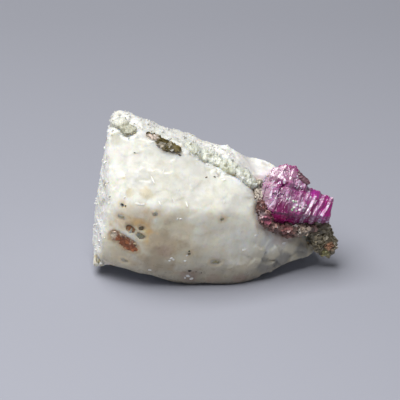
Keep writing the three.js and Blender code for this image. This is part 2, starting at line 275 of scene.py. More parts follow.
def lay_on_marble(piece, proud, reach):
    """Lays the outer part of a piece on the skin of the marble, a little proud of it."""
    tree = mesh_tree(bpy.data.objects["marble_block"].data)
    points = points_of(piece.data)
    for i, spot in enumerate(points):
        found, normal, _, _ = tree.find_nearest(Vector(spot))
        if (Vector(spot) - found).dot(normal) > -reach:
            points[i] = found + normal * proud
    set_points(piece.data, points)


def picture_spot(points, across, up):
    """The front point of a skin on the sight line through a place in the picture.

    The place is in mm from the picture's middle. Where the line misses, the nearest point counts.
    """
    through = AIM + (VIEW_RIGHT * across + VIEW_UP * up) * MM
    sight = np.array((through - CAMERA_PLACE).normalized())
    offset = points - np.array(CAMERA_PLACE)
    depth = offset @ sight
    aside = np.linalg.norm(offset - depth[:, None] * sight, axis=1)
    reach = max(0.3 * MM, aside.min())
    return points[np.argmin(np.where(aside <= reach, depth, np.inf))]


def wobble_of(points, size):
    """A noise value for each point, about -0.5 to 0.5."""
    return np.array([noise.fractal(Vector(spot) / size, 0.8, 2.1, 3) for spot in points]) * 0.6


def paint(mesh, colours, spots, wobble=None):
    """Blends each spot's colour into the colours of the points round its place on the skin.

    The wobble, one value for each point, makes the edges of the spots uneven.
    """
    points = points_of(mesh)
    stretch = 1 if wobble is None else 1 + wobble
    for across, up, radius, colour, strength in spots:
        distance = np.linalg.norm(points - picture_spot(points, across, up), axis=1) / MM
        distance *= stretch
        share = strength * smooth_step(distance, radius, radius * 0.35)
        colours += share[:, None] * (np.array(colour) - colours)
    return colours


# Node trees

# The least and the greatest stretch of a calcite block and of a mica scale along its three sides.
BLOCK_STRETCH = ((0.5, 0.4, 0.35), (1.4, 1.1, 0.9))
SCALE_STRETCH = ((0.5, 0.45, 0.6), (1.35, 1.1, 1.5))
FULL_TURN = ((-math.pi,) * 3, (math.pi,) * 3)


def add(tree, kind, inputs=None, **settings):
    """A node with its settings, whose inputs are given as values or as other nodes' outputs."""
    node = tree.nodes.new(kind)
    for name, value in settings.items():
        setattr(node, name, value)
    for name, value in (inputs or {}).items():
        socket = node.inputs[name]
        if isinstance(value, bpy.types.NodeSocket):
            tree.links.new(value, socket)
        else:
            socket.default_value = value
    return node


def maths(tree, operation, *values):
    return add(tree, "ShaderNodeMath", dict(enumerate(values)), operation=operation).outputs[0]


def vector_maths(tree, operation, first, second):
    """Works on two vectors, or for SCALE on a vector and a number."""
    other = "Scale" if operation == "SCALE" else 1
    node = add(tree, "ShaderNodeVectorMath", {0: first, other: second}, operation=operation)
    return node.outputs["Value" if operation == "DOT_PRODUCT" else "Vector"]


def new_tree(name, inputs):
    """A geometry tree with named inputs: (tree, its group input)."""
    tree = bpy.data.node_groups.new(name, "GeometryNodeTree")
    tree.interface.new_socket("Geometry", in_out="OUTPUT", socket_type="NodeSocketGeometry")
    tree.interface.new_socket("Geometry", in_out="INPUT", socket_type="NodeSocketGeometry")
    for label, kind in inputs.items():
        tree.interface.new_socket(label, in_out="INPUT", socket_type=f"NodeSocket{kind}")
    return tree, tree.nodes.new("NodeGroupInput")


def run_tree(piece, tree, values):
    """Runs a geometry tree on a piece with values for its named inputs."""
    step = piece.modifiers.new(tree.name, "NODES")
    step.node_group = tree
    for item in tree.interface.items_tree:
        if item.in_out == "INPUT" and item.name in values:
            step[item.identifier] = values[item.name]
    finish_modifiers(piece)


def raise_relief(piece, relief, seed):
    """Runs the relief tree with the sizes and heights of its kinds in mm."""
    values = {"Seed": seed}
    for kind, (size, height) in relief.items():
        values[f"{kind} size"] = size * MM
        values[f"{kind} height"] = height * MM
    run_tree(piece, relief_tree(), values)


def strew_blocks(name, skin, density, size, seed, material):
    """A piece of small blocks strewn over a copy of a skin, with a density to a square mm."""
    piece = new_object(name, skin.copy())
    values = {
        "Blocks per square metre": density / MM**2,
        "Block size": size,
        "Seed": seed,
        "Material": material,
    }
    run_tree(piece, sugar_tree(), values)
    return piece


def noise_height(tree, position, size, height, seed, detail=3.0):
    """Noise centred on nought, of a wavelength and a height."""
    field = add(
        tree,
        "ShaderNodeTexNoise",
        {"Vector": position, "W": seed, "Scale": maths(tree, "DIVIDE", 1.0, size), "Detail": detail},
        noise_dimensions="4D",
    )
    centred = maths(tree, "SUBTRACT", field.outputs[0], 0.5)
    return maths(tree, "MULTIPLY", centred, height)


def chip_field(tree, position, size, height, lean):
    """Flat chips: each cell is a plane that leans its own way, with a step to the next."""
    wander = add(
        tree, "ShaderNodeTexNoise", {"Vector": position, "Scale": maths(tree, "DIVIDE", 0.9, size)}
    )
    shake_size = maths(tree, "MULTIPLY", size, 0.7)
    shake = vector_maths(tree, "SCALE", wander.outputs["Color"], shake_size)
    place = vector_maths(tree, "ADD", position, shake)
    scale = maths(tree, "DIVIDE", 1.0, size)
    cells = add(tree, "ShaderNodeTexVoronoi", {"Vector": place, "Scale": scale}, feature="F1")
    scaled = vector_maths(tree, "SCALE", place, scale)
    centre = vector_maths(tree, "SCALE", cells.outputs["Position"], scale)
    across = vector_maths(tree, "SUBTRACT", scaled, centre)
    own = vector_maths(tree, "SUBTRACT", cells.outputs["Color"], (0.5, 0.5, 0.5))
    slope = vector_maths(tree, "DOT_PRODUCT", across, own)
    random_value = add(tree, "ShaderNodeSeparateXYZ", {0: cells.outputs["Color"]}).outputs[0]
    step = maths(tree, "SUBTRACT", random_value, 0.5)
    total = maths(tree, "ADD", maths(tree, "MULTIPLY", slope, lean), step)
    return maths(tree, "MULTIPLY", total, height)


def stored(tree, name):
    """The value that a mesh keeps for each point under a name."""
    node = add(tree, "GeometryNodeInputNamedAttribute", {"Name": name}, data_type="FLOAT")
    return node.outputs[0]


def relief_tree():
    """Moves a skin along its normals: broad waves, cleavage chips and, where marked, sugar."""
    kinds = ("Wave", "Chip", "Sugar")
    sizes = {f"{kind} {side}": "Float" for kind in kinds for side in ("size", "height")}
    tree, given = new_tree("Stone relief", {**sizes, "Seed": "Int"})
    value = given.outputs
    position = add(tree, "GeometryNodeInputPosition").outputs[0]
    waves = noise_height(tree, position, value["Wave size"], value["Wave height"], value["Seed"])
    chips = chip_field(tree, position, value["Chip size"], value["Chip height"], 2.2)
    sugar = chip_field(tree, position, value["Sugar size"], value["Sugar height"], 1.6)
    sugary = maths(tree, "MULTIPLY_ADD", stored(tree, "sugar"), 0.94, 0.06)
    sugar = maths(tree, "MULTIPLY", sugar, sugary)
    chips = maths(tree, "MULTIPLY", chips, stored(tree, "chipped"))
    total = maths(tree, "ADD", maths(tree, "ADD", waves, chips), sugar)
    offset = vector_maths(tree, "SCALE", add(tree, "GeometryNodeInputNormal").outputs[0], total)
    moved = add(tree, "GeometryNodeSetPosition", {"Geometry": value["Geometry"], "Offset": offset})
    add(tree, "NodeGroupOutput", {"Geometry": moved.outputs[0]})
    return tree


def strewn_points(tree, given, label, share):
    """Random points on a skin: a share of the number that the input of this label asks for."""
    density = maths(tree, "MULTIPLY", given.outputs[label], share)
    return add(
        tree,
        "GeometryNodeDistributePointsOnFaces",
        {"Mesh": given.outputs["Geometry"], "Density": density, "Seed": given.outputs["Seed"]},
        distribute_method="RANDOM",
    )


def random_vector(tree, low, high, seed):
    node = "FunctionNodeRandomValue"
    return add(tree, node, {0: low, 1: high, "Seed": seed}, data_type="FLOAT_VECTOR").outputs[0]


def as_rotation(tree, angles):
    return add(tree, "FunctionNodeEulerToRotation", {0: angles}).outputs[0]


def place_on(tree, points, body, rotation, scale):
    """Puts a copy of the body on each point."""
    return add(
        tree,
        "GeometryNodeInstanceOnPoints",
        {"Points": points, "Instance": body, "Rotation": rotation, "Scale": scale},
    ).outputs[0]


def end_tree(tree, geometry, material):
    """Gives the geometry its material and hands it out."""
    painted = add(tree, "GeometryNodeSetMaterial", {"Geometry": geometry, "Material": material})
    add(tree, "NodeGroupOutput", {"Geometry": painted.outputs[0]})


def sugar_tree():
    """Strews small blocks of calcite over a skin where it is marked as sugary."""
    tree, given = new_tree(
        "Calcite sugar",
        {
            "Blocks per square metre": "Float",
            "Block size": "Float",
            "Seed": "Int",
            "Material": "Material",
        },
    )
    seed = given.outputs["Seed"]
    share = maths(tree, "POWER", stored(tree, "sugar"), 2.0)
    spread = strewn_points(tree, given, "Blocks per square metre", share)
    side = add(tree, "ShaderNodeCombineXYZ", {i: given.outputs["Block size"] for i in range(3)})
    block = add(tree, "GeometryNodeMeshCube", {"Size": side.outputs[0]}).outputs["Mesh"]
    turn = as_rotation(tree, random_vector(tree, *FULL_TURN, seed))
    stretch = random_vector(tree, *BLOCK_STRETCH, seed)
    placed = place_on(tree, spread.outputs["Points"], block, turn, stretch)
    real = add(tree, "GeometryNodeRealizeInstances", {0: placed})
    end_tree(tree, real.outputs[0], given.outputs["Material"])
    return tree


def scales_tree():
    """Covers the core of a skin with thin six-sided scales that lean out of it a little."""
    tree, given = new_tree(
        "Mica scales",
        {
            "Scales per square metre": "Float",
            "Scale radius": "Float",
            "Scale thickness": "Float",
            "Lean": "Float",
            "Seed": "Int",
            "Material": "Material",
        },
    )
    seed = given.outputs["Seed"]
    spread = strewn_points(tree, given, "Scales per square metre", stored(tree, "core"))
    radius, depth = given.outputs["Scale radius"], given.outputs["Scale thickness"]
    plate = add(
        tree, "GeometryNodeMeshCylinder", {"Vertices": 6, "Radius": radius, "Depth": depth}
    ).outputs["Mesh"]
    lean = given.outputs["Lean"]
    back = maths(tree, "MULTIPLY", lean, -1.0)
    low = add(tree, "ShaderNodeCombineXYZ", {0: back, 1: back, 2: -math.pi}).outputs[0]
    high = add(tree, "ShaderNodeCombineXYZ", {0: lean, 1: lean, 2: math.pi}).outputs[0]
    turn = as_rotation(tree, random_vector(tree, low, high, seed))
    rotated = add(
        tree,
        "FunctionNodeRotateRotation",
        {"Rotation": spread.outputs["Rotation"], "Rotate By": turn},
        rotation_space="LOCAL",
    ).outputs[0]
    stretch = random_vector(tree, *SCALE_STRETCH, seed)
    placed = place_on(tree, spread.outputs["Points"], plate, rotated, stretch)
    shade = add(tree, "FunctionNodeRandomValue", {2: 0.0, 3: 1.0, "Seed": seed}, data_type="FLOAT")
    shaded = add(
        tree,
        "GeometryNodeStoreNamedAttribute",
        {"Geometry": placed, "Name": "shade", "Value": shade.outputs[1]},
        data_type="FLOAT",
        domain="INSTANCE",
    )
    real = add(tree, "GeometryNodeRealizeInstances", {0: shaded.outputs[0]}).outputs[0]
    flat = add(tree, "GeometryNodeSetShadeSmooth", {"Geometry": real, "Shade Smooth": False})
    whole = tree.nodes.new("GeometryNodeJoinGeometry")
    tree.links.new(flat.outputs[0], whole.inputs[0])
    tree.links.new(given.outputs["Geometry"], whole.inputs[0])
    end_tree(tree, whole.outputs[0], given.outputs["Material"])
    return tree


# Materials


def new_material(name):
    """A material with only its shader and output: (material, tree, shader)."""
    material = bpy.data.materials.new(name)
    material.use_nodes = True
    tree = material.node_tree
    tree.nodes.clear()
    shader = add(tree, "ShaderNodeBsdfPrincipled")
    add(tree, "ShaderNodeOutputMaterial", {"Surface": shader.outputs[0]})
    return material, tree, shader


def object_noise(tree, size, detail=3.0, distortion=0.0):
    """Noise on object coordinates, of a wavelength in metres."""
    place = add(tree, "ShaderNodeTexCoord").outputs["Object"]
    return add(
        tree,
        "ShaderNodeTexNoise",
        {"Vector": place, "Scale": 1 / size, "Detail": detail, "Distortion": distortion},
    ).outputs[0]


def ramp(tree, value, low, high):
    """0 below low, 1 above high, straight between."""
    return add(
        tree, "ShaderNodeMapRange", {"Value": value, "From Min": low, "From Max": high}
    ).outputs[0]


def mixed(tree, share, first, second, blend="MIX"):
    return add(
        tree, "ShaderNodeMix", {0: share, 6: first, 7: second}, data_type="RGBA", blend_type=blend
    ).outputs[2]


def attribute(tree, name):
    return add(tree, "ShaderNodeAttribute", attribute_name=name)


def rough_up(tree, shader, height, distance, strength):
    settings = {"Height": height, "Distance": distance, "Strength": strength}
    bump = add(tree, "ShaderNodeBump", settings)
    tree.links.new(bump.outputs[0], shader.inputs["Normal"])


def streak_noise(tree, size, line, stretch, detail=4.0):
    """Noise on object coordinates, drawn out along a line."""
    place = add(tree, "ShaderNodeTexCoord").outputs["Object"]
    along = vector_maths(tree, "DOT_PRODUCT", place, line)
    back = vector_maths(tree, "SCALE", line, maths(tree, "MULTIPLY", along, 1 - 1 / stretch))
    drawn = vector_maths(tree, "SUBTRACT", place, back)
    return add(
        tree, "ShaderNodeTexNoise", {"Vector": drawn, "Scale": 1 / size, "Detail": detail}
    ).outputs[0]


def marble_material(settings, name="White marble"):
    material, tree, shader = new_material(name)
    tint = attribute(tree, "tint").outputs["Color"]
    cloud = ramp(tree, object_noise(tree, 6 * MM, 4.0, 1.4), 0.38, 0.66)
    streak = ramp(tree, streak_noise(tree, 1.6 * MM, MARBLE_LINE, 4), 0.48, 0.64)
    base = mixed(tree, cloud, (*settings.marble_colour, 1), (*settings.marble_shade, 1))
    base = mixed(tree, maths(tree, "MULTIPLY", streak, 0.7), base, (0.97, 0.97, 0.95, 1))
    tree.links.new(mixed(tree, 1.0, base, tint, "MULTIPLY"), shader.inputs["Base Color"])
    sugar = attribute(tree, "sugar").outputs["Fac"]
    gloss = ramp(tree, object_noise(tree, 1.2 * MM, 3.0), 0.35, 0.65)
    tree.links.new(maths(tree, "MULTIPLY_ADD", gloss, 0.28, 0.2), shader.inputs["Roughness"])
    chipped = attribute(tree, "chipped").outputs["Fac"]
    depth = maths(tree, "MULTIPLY_ADD", chipped, -0.4, 0.94)
    tree.links.new(depth, shader.inputs["Subsurface Weight"])
    shader.inputs["Subsurface Radius"].default_value = (1.0, 0.82, 0.55)
    shader.inputs["Subsurface Scale"].default_value = settings.marble_depth
    shader.inputs["IOR"].default_value = 1.5
    grain = object_noise(tree, 0.4 * MM, 4.0)
    height = maths(tree, "MULTIPLY", grain, maths(tree, "MULTIPLY_ADD", sugar, 0.8, 0.2))
    rough_up(tree, shader, height, 0.12 * MM, 0.8)
    return material


def sugar_material(name, pale, deep):
    """Clear grains with bright faces, from pale to deep."""
    material, tree, shader = new_material(name)
    cloud = ramp(tree, object_noise(tree, 0.7 * MM, 3.0), 0.38, 0.62)
    base = mixed(tree, cloud, (*pale, 1), (*deep, 1))
    tint = attribute(tree, "tint").outputs["Color"]
    tree.links.new(mixed(tree, 0.8, base, tint, "MULTIPLY"), shader.inputs["Base Color"])
    shader.inputs["Roughness"].default_value = 0.32
    shader.inputs["IOR"].default_value = 1.5
    shader.inputs["Transmission Weight"].default_value = 0.08
    return material


def ruby_material(settings):
    material, tree, shader = new_material("Ruby")
    zone = ramp(tree, object_noise(tree, 2.2 * MM, 4.0, 0.8), 0.35, 0.68)
    # This attribute holds frosted patches and painted glints along the ledge risers.
    frost = attribute(tree, "frost").outputs["Fac"]
    base = mixed(tree, zone, (*settings.ruby_deep, 1), (*settings.ruby_bright, 1))
    flecks = ramp(tree, streak_noise(tree, 0.5 * MM, LEDGE_LINE, 2.6, 3.0), 0.42, 0.62)
    frosted = maths(tree, "MULTIPLY", frost, maths(tree, "MULTIPLY_ADD", flecks, 0.55, 0.45))
    tint = attribute(tree, "tint").outputs["Color"]
    base = mixed(tree, 1.0, base, tint, "MULTIPLY")
    base = mixed(tree, frosted, base, (*settings.ruby_frost, 1))
    # Its strongest part is mixed towards near-white as a painted glint.
    glints = maths(tree, "MULTIPLY", maths(tree, "POWER", frost, 3.0), flecks)
    base = mixed(tree, glints, base, (0.9, 0.84, 0.94, 1))
    base = mixed(tree, attribute(tree, "veil").outputs["Fac"], base, (*settings.ruby_veil, 1))
    tree.links.new(base, shader.inputs["Base Color"])
    tree.links.new(maths(tree, "MULTIPLY_ADD", zone, 0.15, 0.18), shader.inputs["Roughness"])
    shader.inputs["Subsurface Weight"].default_value = 0.3
    shader.inputs["Subsurface Radius"].default_value = (1.0, 0.1, 0.4)
    shader.inputs["Subsurface Scale"].default_value = 0.8 * MM
    shader.inputs["IOR"].default_value = 1.76
    shader.inputs["Coat Weight"].default_value = 0.5
    shader.inputs["Coat Roughness"].default_value = 0.16
    rough_up(tree, shader, object_noise(tree, 0.3 * MM, 3.0, 0.5), 0.05 * MM, 0.35)
    return material


def mica_material(name, gloss, contrast=1.0):
    """Scaly mica: the tint painted on the piece, lighter or darker from scale to scale."""
    material, tree, shader = new_material(name)
    tint = attribute(tree, "tint").outputs["Color"]
    shade = attribute(tree, "shade").outputs["Fac"]
    cloud = ramp(tree, object_noise(tree, 1.1 * MM, 4.0), 0.35, 0.65)
    share = maths(tree, "MULTIPLY_ADD", shade, 0.6, maths(tree, "MULTIPLY", cloud, 0.4))
    darkest, lightest = 1 - 0.66 * contrast, 1 + 0.8 * contrast
    dark = mixed(tree, 1.0, tint, (*[darkest] * 3, 1), "MULTIPLY")
    light = mixed(tree, 1.0, tint, (*[lightest] * 3, 1), "MULTIPLY")
    tree.links.new(mixed(tree, share, dark, light), shader.inputs["Base Color"])
    tree.links.new(maths(tree, "MULTIPLY_ADD", cloud, 0.3, gloss), shader.inputs["Roughness"])
    shader.inputs["IOR"].default_value = 1.58
    rough_up(tree, shader, object_noise(tree, 0.4 * MM, 3.0), 0.06 * MM, 0.7)
    return material


def floor_material(settings):
    """Plain pale floor, with painted light: a little lighter towards the viewer."""
    material, tree, shader = new_material("Pale floor")
    place = add(tree, "ShaderNodeTexCoord").outputs["Object"]
    depth = add(tree, "ShaderNodeSeparateXYZ", {0: place}).outputs["Y"]
    near = ramp(tree, depth, 0.09, -0.09)
    colour = mixed(tree, near, (*settings.floor_far, 1), (*settings.floor_near, 1))
    tree.links.new(colour, shader.inputs["Base Color"])
    shader.inputs["Roughness"].default_value = 0.7
    shader.inputs["Specular IOR Level"].default_value = 0.25
    return material


# Settings


def length_property(name, description, default):
    return FloatProperty(name=name, description=description, default=default, unit="LENGTH")


def colour_property(name, description, default):
    return FloatVectorProperty(
        name=name, description=description, default=default, size=3, subtype="COLOR"
    )


class StoneSettings(bpy.types.PropertyGroup):
    """Sizes and colours of the marble."""

    marble_voxel: length_property(
        "Marble skin",
        "Size of the marble's mesh squares",
        0.26 * MM,
    )
    marble_depth: length_property(
        "Light depth",
        "How far light goes into the marble",
        3.2 * MM,
    )
    marble_colour: colour_property(
        "Marble",
        "Colour of clear white marble",
        (0.90, 0.895, 0.86),
    )
    marble_shade: colour_property(
        "Marble shade",
        "Colour of the greyer clouds in the marble",
        (0.80, 0.805, 0.77),
    )
    sugar_size: length_property(
        "Sugar blocks",
        "Middling size of the loose-looking blocks on the sugary marble",
        0.4 * MM,
    )
    sugar_density: FloatProperty(
        name="Sugar density",
        description="Blocks to each square millimetre where the marble is fully sugary",
        default=0.9,
    )
    seed: IntProperty(
        name="Seed",
        description="Seed of everything random",
        default=7,
    )


class RubySettings(bpy.types.PropertyGroup):
    """Sizes and colours of the ruby."""

    ruby_voxel: length_property(
        "Ruby skin",
        "Size of the ruby's mesh squares",
        0.11 * MM,
    )
    ledge_spacing: length_property(
        "Ledge spacing",
        "Distance between growth ledges along the crystal",
        1.5 * MM,
    )
    ledge_height: length_property(
        "Ledge height",
        "Height of the growth ledges",
        0.26 * MM,
    )
    frost_size: length_property(
        "Frost grains",
        "Middling size of the pale grains on the frosted root of the ruby",
        0.38 * MM,
    )
    frost_density: FloatProperty(
        name="Frost density",
        description="Grains to each square millimetre where the frost is full",
        default=1.2,
    )
    ruby_deep: colour_property(
        "Deep ruby",
        "Colour of the deep red of the ruby",
        (0.20, 0.003, 0.10),
    )
    ruby_bright: colour_property(
        "Bright ruby",
        "Colour of the brighter pink of the ruby",
        (0.36, 0.008, 0.22),
    )
    ruby_veil: colour_property(
        "Veil",
        "Colour of the pinkish calcite that lies over the ruby's root",
        (0.43, 0.31, 0.38),
    )
    # Also the colour of the painted glints along the ledge risers.
    ruby_frost: colour_property(
        "Frost",
        "Colour of the frosted patches on the ruby",
        (0.70, 0.52, 0.72),
    )


class StageSettings(bpy.types.PropertyGroup):
    """Floor, light and camera."""

    # The floor's colour runs from far to near as painted light, lighter towards the viewer.
    floor_far: colour_property(
        "Far floor",
        "Colour of the floor behind the stone",
        (0.25, 0.258, 0.298),
    )
    floor_near: colour_property(
        "Near floor",
        "Colour of the floor in front of the stone",
        (0.335, 0.345, 0.402),
    )
    lamp_power: FloatProperty(
        name="Lamp power",
        description="Power of the large lamp overhead",
        default=2.92,
    )
    sky_strength: FloatProperty(
        name="Room light",
        description="Strength of the even light from all round",
        default=0.17,
    )


# Marble

# Colours that the marble takes round places in the picture, with painted shade among them: mm across
# and up from its middle, radius in mm, colour and strength.
MARBLE_SPOTS_AND_PAINTED_SHADE = [
    # stains low on the left, down to the lip
    (-6, -8, 9, (0.84, 0.74, 0.54), 0.6),
    (-8, -9.5, 5.5, (0.66, 0.54, 0.38), 0.7),
    (-9, -13, 4.5, (0.52, 0.42, 0.30), 0.6),
    (-13, -4.4, 5.4, (0.90, 0.79, 0.60), 0.6),
    (-12.4, -5.6, 3.4, (0.96, 0.66, 0.30), 0.85),
    (-16, -11.5, 4.0, (0.80, 0.70, 0.52), 0.6),
    (-20.5, -13.3, 3.0, (1.0, 0.92, 0.78), 0.9),
    # the top edge, greyer than the front
    (-17.4, 16.6, 3.0, (0.62, 0.62, 0.61), 0.95),
    (-13, 15.2, 2.6, (0.72, 0.73, 0.73), 0.8),
    (-7.0, 13.2, 2.4, (0.74, 0.74, 0.73), 0.7),
    (-17.8, 17.3, 1.8, (0.72, 0.72, 0.70), 0.7),
    (-8.4, 13.9, 2.2, (0.72, 0.73, 0.70), 0.7),
    (-5, 12.4, 2.6, (0.70, 0.71, 0.68), 0.7),
    (-1.6, 10.8, 2.2, (0.72, 0.73, 0.69), 0.6),
    # yellow and brown smudges in the front, and its clearer clouds
    (-10.4, -3.4, 2.2, (0.88, 0.76, 0.56), 0.6),
    (-15.5, -5, 2.6, (0.84, 0.66, 0.44), 0.6),
    (-7.6, -10.8, 2.0, (0.54, 0.40, 0.34), 0.45),
    (-8, 6.1, 3.6, (0.76, 0.755, 0.71), 0.6),
    (-6.5, 3, 3.6, (0.80, 0.80, 0.74), 0.5),
    (2.5, 4, 4, (0.82, 0.81, 0.76), 0.5),
    (-14.8, 1.1, 1.2, (0.70, 0.62, 0.44), 0.55),
    (-11.2, 1.2, 1.2, (0.72, 0.64, 0.48), 0.5),
    # the right end, then painted shade on its underside where it overhangs the floor
    (8.5, -8.5, 6, (1.04, 1.02, 0.96), 0.7),
    (15, -8.6, 3.6, (0.92, 0.93, 0.92), 0.8),
    (13.0, -13.6, 2.8, (0.30, 0.29, 0.28), 0.8),
    (17.0, -12.2, 2.4, (0.30, 0.29, 0.28), 0.8),
    (21.0, -10.8, 2.2, (0.30, 0.29, 0.28), 0.8),
    # round the ruby
    (12.8, 6.6, 2.6, (0.72, 0.71, 0.71), 0.8),
    (12.6, 4.2, 3.4, (0.46, 0.40, 0.43), 0.85),
    (10, 7.2, 4.6, (0.66, 0.65, 0.66), 0.9),
    (12.6, -3.2, 3.0, (0.58, 0.45, 0.42), 0.7),
    (15.4, -4.7, 1.5, (0.30, 0.18, 0.17), 0.9),
    (16.5, -7.8, 2.2, (0.62, 0.50, 0.48), 0.6),
    (8.0, 0, 3.6, (0.82, 0.82, 0.80), 0.7),
    # along the bottom edge, then single smudges
    (-2, -15.6, 2.6, (0.46, 0.32, 0.26), 0.6),
    (3, -16.2, 2.0, (0.58, 0.44, 0.36), 0.5),
    (8, -16.2, 2.0, (0.52, 0.36, 0.30), 0.5),
    (-17.3, 12.3, 1.6, (0.50, 0.48, 0.38), 0.5),
    (6.3, -1.6, 3.0, (0.76, 0.76, 0.74), 0.6),
]
# Painted shade and light on the front faces at heights in mm: darker towards the floor, lighter
# below the ridge.
FRONT_PAINTED_LIGHT_AND_SHADE = [
    (0, (0.26, 0.22, 0.18)),
    (1.2, (0.44, 0.39, 0.32)),
    (3, (0.58, 0.53, 0.43)),
    (5.5, (0.72, 0.67, 0.56)),
    (9, (0.88, 0.84, 0.72)),
    (13, (1.02, 0.985, 0.87)),
    (17, (1.06, 1.04, 0.93)),
    (19, (1.03, 1.02, 0.96)),
    (23, (0.97, 0.97, 0.94)),
]
# How far from a mineral, in mm, its colour spreads into the marble, and how strongly.
HALOS = {
    "mica_grain": (0.9, (0.92, 0.79, 0.56), 0.6),
    "mica_rim": (2.0, (0.55, 0.45, 0.40), 0.75),
    "mica_knot_at_tip": (1.6, (0.50, 0.46, 0.38), 0.8),
    "dark_mica_flake": (0.7, (0.72, 0.62, 0.48), 0.8),
    "red_mica_flake": (1.0, (0.68, 0.48, 0.28), 0.7),
    "grey_mica": (1.0, (0.84, 0.84, 0.76), 0.7),
    "ruby_crystal": (1.4, (0.80, 0.58, 0.68), 0.6),
}


RIDGE_ROUNDS = 90  # how often the ridge across the front is smoothed
# Size and height in mm of the marble's broad waves, cleavage chips and sugar.
MARBLE_RELIEF = {"Wave": (4.5, 0.45), "Chip": (3.2, 0.3), "Sugar": (1.0, 0.26)}


def add_halos(mesh, colours):
    """Blends the colour of each mineral into the marble round it."""
    for node in MINERAL_NODES:
        kind = next((kind for kind in HALOS if node.startswith(kind)), None)
        if kind is None:
            continue
        reach, colour, strength = HALOS[kind]
        tree = mesh_tree(frame["nodes"][node].data)
        for i, vertex in enumerate(mesh.vertices):
            found, _, _, distance = tree.find_nearest(vertex.co, reach * MM)
            if found is not None:
                share = strength * float(smooth_step(distance / MM, reach, 0.35))
                colours[i] += share * (np.array(colour) - colours[i])
    return colours


def mark_breaks(mesh):
    """Stores where the marble is sugary and where it is chipped."""
    points = points_of(mesh) / MM
    normals = normals_of(mesh)
    upwards = smooth_step(normals[:, 2], 0.74, 0.86) * smooth_step(points[:, 2], 10, 16)
    upwards *= smooth_step(points[:, 0], 8, 2)
    back = smooth_step(points[:, 1], 2, 6)
    crest = smooth_step(points[:, 0], -13, -16) * smooth_step(points[:, 2], 29, 31)
    left = smooth_step(normals[:, 0], -0.4, -0.75)
    sugar = np.maximum.reduce([0.75 * upwards, 0.5 * back, 0.85 * crest, 0.45 * left])
    store_float(mesh, "sugar", sugar * smooth_step(points[:, 2], 1, 3))
    low_right = smooth_step(points[:, 0], 3, 10) * smooth_step(points[:, 2], 17, 12)
    plain = np.full(len(points), 0.22)
    chipped = np.maximum.reduce([plain, 1.2 * low_right, 1.3 * back, 0.6 * upwards, 0.7 * left])
    store_float(mesh, "chipped", chipped)


def paint_marble_tint_and_shade(mesh):
    """Stores the tint: greyer on top to the left, painted light and shade by height in front, spots
    and halos.
    """
    points = points_of(mesh) / MM
    normals = normals_of(mesh)
    skyward = smooth_step(normals[:, 2], 0.5, 0.8)
    greyness = skyward * np.interp(points[:, 0], (-6, 5), (0.3, 0))
    tint = np.ones((len(points), 3)) * (1 - greyness[:, None])
    # The front faces take painted light and shade by height: darker and warmer down to the floor.
    front = smooth_step(normals[:, 1], -0.2, -0.6)
    heights = [height for height, _ in FRONT_PAINTED_LIGHT_AND_SHADE]
    for channel in range(3):
        painted_shade_levels = [colour[channel] for _, colour in FRONT_PAINTED_LIGHT_AND_SHADE]
        tint[:, channel] *= 1 - front * (1 - np.interp(points[:, 2], heights, painted_shade_levels))
    wobble = 1.1 * wobble_of(points * MM, 2.4 * MM)
    store_colour(mesh, "tint", add_halos(mesh, paint(mesh, tint, MARBLE_SPOTS_AND_PAINTED_SHADE, wobble)))


def ridge_share(mesh):
    """How much each point is rounded off: fully along the ridge that crosses the front."""
    points = points_of(mesh) / MM
    above = smooth_step(points[:, 2], 14, 17) * smooth_step(points[:, 2], 23, 19.5)
    front = smooth_step(normals_of(mesh)[:, 1], -0.1, -0.4) * smooth_step(points[:, 0], 9, 6)
    inside = smooth_step(points[:, 0], -23, -20.5)
    return above * front * inside


class STONE_OT_marble(bpy.types.Operator):
    """Makes the marble block with its fracture relief, closed onto the minerals it holds"""

    bl_idname = "stone.marble"
    bl_label = "Marble block"

    def execute(self, context):
        settings = context.scene.stone_settings
        block = copy_of_nodes("marble_block", ["marble_matrix"])
        remesh(block, settings.marble_voxel)
        soften(block, 3)
        fill_seats(block, FLUSH_NODES, settings.marble_voxel)
        soften(block, 2)
        soften(block, RIDGE_ROUNDS, ridge_share(block.data))
        mark_breaks(block.data)
        paint_marble_tint_and_shade(block.data)
        raise_relief(block, MARBLE_RELIEF, settings.seed)
        soften(block, 1)
        points = points_of(block.data)
        points[:, 2] = np.maximum(points[:, 2], 0)
        set_points(block.data, points)
        proud_nodes = [node for node in MINERAL_NODES if node not in FLUSH_NODES]
        close_onto(block, proud_nodes, CONTACT_REACH, MARBLE_BITE)
        dress(block, marble_material(settings))
        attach(block, "root")
        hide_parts("marble_matrix")
        return {"FINISHED"}


class STONE_OT_sugar(bpy.types.Operator):
    """Strews small cleavage blocks of calcite over the sugary parts of the marble"""

    bl_idname = "stone.sugar"
    bl_label = "Calcite sugar"

    def execute(self, context):
        settings = context.scene.stone_settings
        sugar = strew_blocks(
            "calcite_sugar",
            bpy.data.objects["marble_block"].data,
            settings.sugar_density,
            settings.sugar_size,
            settings.seed,
            sugar_material("Calcite sugar", (0.86, 0.86, 0.84), (0.72, 0.725, 0.70)),
        )
        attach(sugar, "root")
        return {"FINISHED"}
